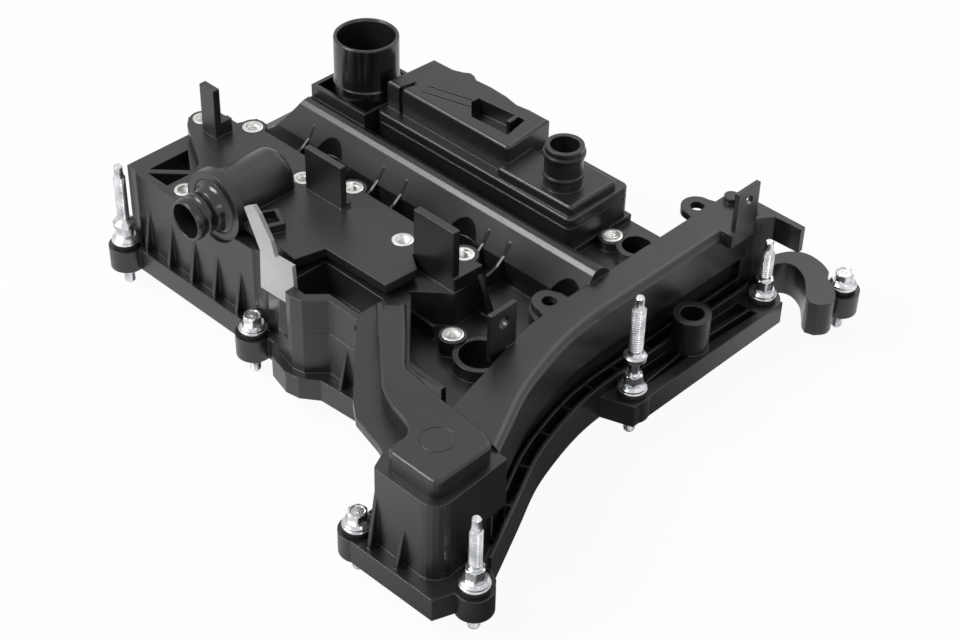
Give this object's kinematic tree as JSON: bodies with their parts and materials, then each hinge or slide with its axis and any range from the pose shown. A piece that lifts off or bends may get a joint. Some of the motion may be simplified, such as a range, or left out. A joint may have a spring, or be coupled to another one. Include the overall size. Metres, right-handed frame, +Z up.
{
  "type": "engine valve cover",
  "caption": "Black moulded engine valve cover with a long ridge, breather chamber and hose nozzle, oil filler neck, oil separator lid, arched timing end and captive bright fasteners.",
  "frame": {"origin": "centre of the part's outline in plan, level with the tips of the captive fasteners that it stands on; the gasket face is the plane z = 0.012 m", "axes": "+X along the camshafts towards the arched timing end, +Y across the cover from the breather side to the far side, +Z up"},
  "size_m": [0.3232, 0.3188, 0.116],
  "materials": {
    "black_nylon": "fine-grained black moulding",
    "grey_plate": "pale grey, satin",
    "zinc": "bright zinc plate",
    "insert_metal": "turned",
    "steel": "plain",
    "seal_rubber": "matte",
    "gasket_rubber": "matte"
  },
  "bodies": {
    "cover": {"cover_shell": "black_nylon", "breather_cover": "black_nylon", "breather_side_plate": "grey_plate", "timing_lid": "black_nylon", "separator_lid": "black_nylon", "oil_filler_neck": "black_nylon", "filler_seal": "seal_rubber", "hose_connector": "black_nylon", "connector_seal": "seal_rubber", "pcv_valve_seat": "steel", "pcv_spring": "steel", "pcv_spring_retainer": "steel", "hex_flange_bolts": "zinc", "collar_studs": "zinc", "plain_studs": "zinc", "sealing_washers": "zinc", "compression_sleeves": "steel", "bolt_grommets": "seal_rubber", "threaded_inserts": "insert_metal", "cover_gasket": "gasket_rubber", "well_seals": "seal_rubber", "separator_baffle": "black_nylon", "breather_baffle": "black_nylon"},
    "plunger": {"pcv_plunger": "steel"}
  },
  "joints": [
    {"name": "pcv_lift", "type": "slide", "parent": "cover", "child": "plunger", "axis": [0, 0, 1], "range_m": [0, 0.003], "stiffness_N_per_m": 60, "springref_m": -0.002, "deforming": ["pcv_spring"]}
  ]
}
